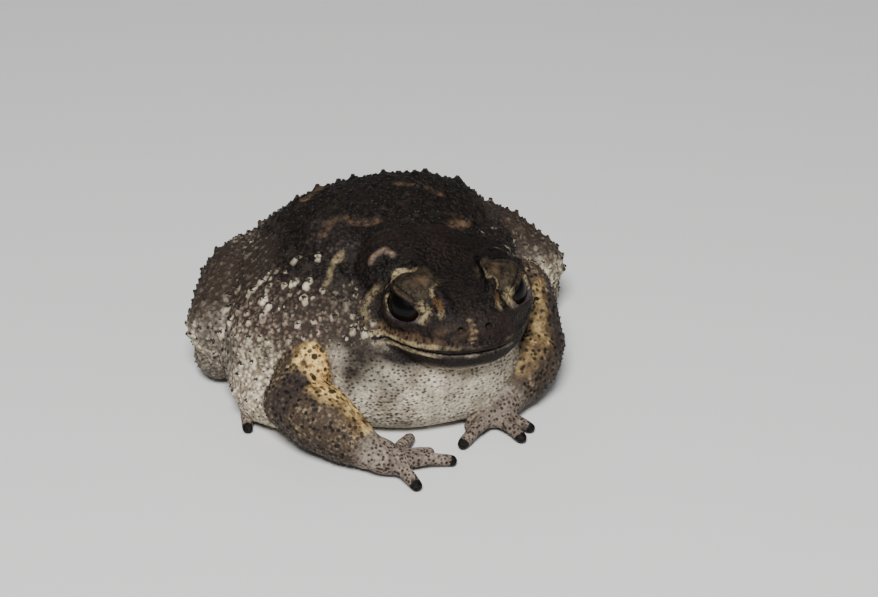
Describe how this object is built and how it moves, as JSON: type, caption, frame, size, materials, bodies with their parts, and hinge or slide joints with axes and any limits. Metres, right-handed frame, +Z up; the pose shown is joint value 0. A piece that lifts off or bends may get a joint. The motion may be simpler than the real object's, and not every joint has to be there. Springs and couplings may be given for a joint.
{
  "type": "asian common toad",
  "caption": "Life-size still model of a warty adult toad sitting puffed up on its belly, forelegs bent and its head held straight ahead.",
  "frame": {"origin": "on the ground, under the middle of the toad's box", "axes": "+X to the toad's left, -Y the way it faces, +Z up"},
  "size_m": [0.09, 0.0894, 0.0394],
  "materials": {
    "back_skin": "matt warty skin, very dark brown with pale warts",
    "head_skin": "tight dark brown skin over bony ridges, slightly glossy",
    "throat_skin": "granular cream-white skin with rows of tiny black dots",
    "limb_skin": "tan to yellow-brown skin with black spots",
    "hand_skin": "pinkish tan skin with fine black spots and black tips",
    "gland_skin": "dark granular gland skin",
    "eye": "wet, almost black eyeball"
  },
  "bodies": {
    "root": {"eye_left": "eye", "eye_right": "eye", "foot_left": "hand_skin", "foot_right": "hand_skin", "forearm_left": "limb_skin", "forearm_right": "limb_skin", "hand_left": "hand_skin", "hand_right": "hand_skin", "head": "head_skin", "lower_jaw": "throat_skin", "parotoid_left": "gland_skin", "parotoid_right": "gland_skin", "shank_left": "limb_skin", "shank_right": "limb_skin", "thigh_left": "limb_skin", "thigh_right": "limb_skin", "trunk": "back_skin", "upper_arm_left": "limb_skin", "upper_arm_right": "limb_skin"}
  },
  "joints": []
}
